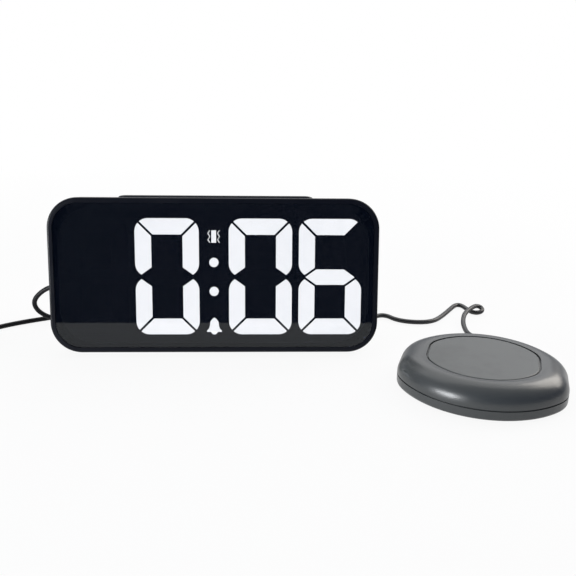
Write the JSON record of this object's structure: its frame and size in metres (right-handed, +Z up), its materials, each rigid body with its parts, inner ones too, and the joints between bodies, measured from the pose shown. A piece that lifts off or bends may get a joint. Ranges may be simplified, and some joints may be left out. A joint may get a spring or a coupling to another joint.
{
  "type": "bed shaker alarm clock",
  "caption": "Bed shaker alarm clock: wide mirror-face LED clock on a leaning stand, with a vibrating disc on a thin cord, a power lead and controls on the back and top.",
  "frame": {"origin": "centre of the clock's flat non-slip mat, on the table", "axes": "+X to the viewer's right along the clock's face, +Y to the rear, +Z up from the table"},
  "size_m": [0.3594, 0.2075, 0.0825],
  "materials": {
    "bezel_gloss": "gloss black",
    "lens_dark": "dark tinted gloss",
    "mask_black": "matte black",
    "segment_white": "diffuse white, lit",
    "segment_dark": "diffuse, unlit",
    "chip_yellow": "LED lens",
    "board_green": "solder mask",
    "case_black": "fine satin texture",
    "screw_steel": "zinc plated",
    "speaker_black": "coated basket",
    "key_black": "satin",
    "switch_black": "moulded",
    "cell_steel": "bright",
    "spring_steel": "satin",
    "port_steel": "bright plated",
    "mat_rubber": "matt",
    "plug_black": "soft moulded",
    "cord_black": "satin jacket",
    "grommet_rubber": "satin",
    "shaker_dark": "soft-touch satin",
    "shaker_grey": "soft-touch satin",
    "motor_steel": "zinc plated can",
    "shaft_steel": "ground",
    "weight_iron": "sintered"
  },
  "bodies": {
    "clock": {"backup_cell": "cell_steel", "battery_door": "case_black", "battery_door_screw": "screw_steel", "bell_icon": "segment_white", "cell_clip": "spring_steel", "colon_dots": "segment_white", "dimmer_potentiometer": "switch_black", "display_board": "board_green", "display_lens": "lens_dark", "front_bezel": "bezel_gloss", "hour_ones_digit": "segment_white", "hour_tens_digit": "segment_dark", "housing_screws": "screw_steel", "led_chips": "chip_yellow", "main_board": "board_green", "minute_ones_digit": "segment_white", "minute_tens_digit": "segment_white", "motor_clamp": "spring_steel", "non_slip_mat": "mat_rubber", "power_cord_coil": "cord_black", "power_cord_run": "cord_black", "power_cord_tail": "cord_black", "power_jack": "switch_black", "power_plug": "plug_black", "rear_housing": "case_black", "rear_switches": "switch_black", "reflector": "mask_black", "shaker_bottom_cover": "shaker_dark", "shaker_cord_coil": "cord_black", "shaker_cord_inner_run": "cord_black", "shaker_cord_outer_run": "cord_black", "shaker_feet": "mat_rubber", "shaker_grommet": "grommet_rubber", "shaker_jack": "switch_black", "shaker_motor": "motor_steel", "shaker_plug": "plug_black", "shaker_screws": "screw_steel", "shaker_top_cover": "shaker_dark", "shaker_top_panel": "shaker_grey", "slide_switch_body": "switch_black", "snooze_board": "board_green", "snooze_switches": "switch_black", "speaker": "speaker_black", "unlit_segments": "segment_dark", "usb_plug_body": "plug_black", "usb_plug_shell": "port_steel", "usb_port": "port_steel", "vibrate_icon": "segment_white"},
    "snooze": {"snooze_bar": "key_black"},
    "time_key": {"time_button": "key_black"},
    "alarm_one_key": {"alarm_one_button": "key_black"},
    "alarm_two_key": {"alarm_two_button": "key_black"},
    "plus_key": {"plus_button": "key_black"},
    "minus_key": {"minus_button": "key_black"},
    "mode_slider": {"alarm_mode_slider": "key_black"},
    "dimmer": {"dimmer_wheel": "key_black"},
    "weight": {"motor_shaft": "shaft_steel", "eccentric_weight": "weight_iron"}
  },
  "joints": [
    {"name": "snooze_press", "type": "slide", "parent": "clock", "child": "snooze", "axis": [0, -0.1736, -0.9848], "range_m": [0, 0.0009], "stiffness_N_per_m": 900},
    {"name": "time_press", "type": "slide", "parent": "clock", "child": "time_key", "axis": [0, -0.9848, 0.1736], "range_m": [0, 0.0005], "stiffness_N_per_m": 800},
    {"name": "alarm_one_press", "type": "slide", "parent": "clock", "child": "alarm_one_key", "axis": [0, -0.9848, 0.1736], "range_m": [0, 0.0005], "stiffness_N_per_m": 800},
    {"name": "alarm_two_press", "type": "slide", "parent": "clock", "child": "alarm_two_key", "axis": [0, -0.9848, 0.1736], "range_m": [0, 0.0005], "stiffness_N_per_m": 800},
    {"name": "plus_press", "type": "slide", "parent": "clock", "child": "plus_key", "axis": [0, -0.9848, 0.1736], "range_m": [0, 0.0005], "stiffness_N_per_m": 800},
    {"name": "minus_press", "type": "slide", "parent": "clock", "child": "minus_key", "axis": [0, -0.9848, 0.1736], "range_m": [0, 0.0005], "stiffness_N_per_m": 800},
    {"name": "alarm_mode_slide", "type": "slide", "parent": "clock", "child": "mode_slider", "axis": [1, 0, 0], "range_m": [-0.003, 0.003]},
    {"name": "dimmer_turn", "type": "hinge", "parent": "clock", "child": "dimmer", "pos_m": [0.058, 0.0214, 0.05894], "axis": [0, 0.1736, 0.9848], "range_deg": [0, 270]},
    {"name": "weight_spin", "type": "hinge", "parent": "clock", "child": "weight", "pos_m": [0.1312, -0.0556, 0.0075], "axis": [0.9415, -0.3371, 0], "continuous": true}
  ]
}
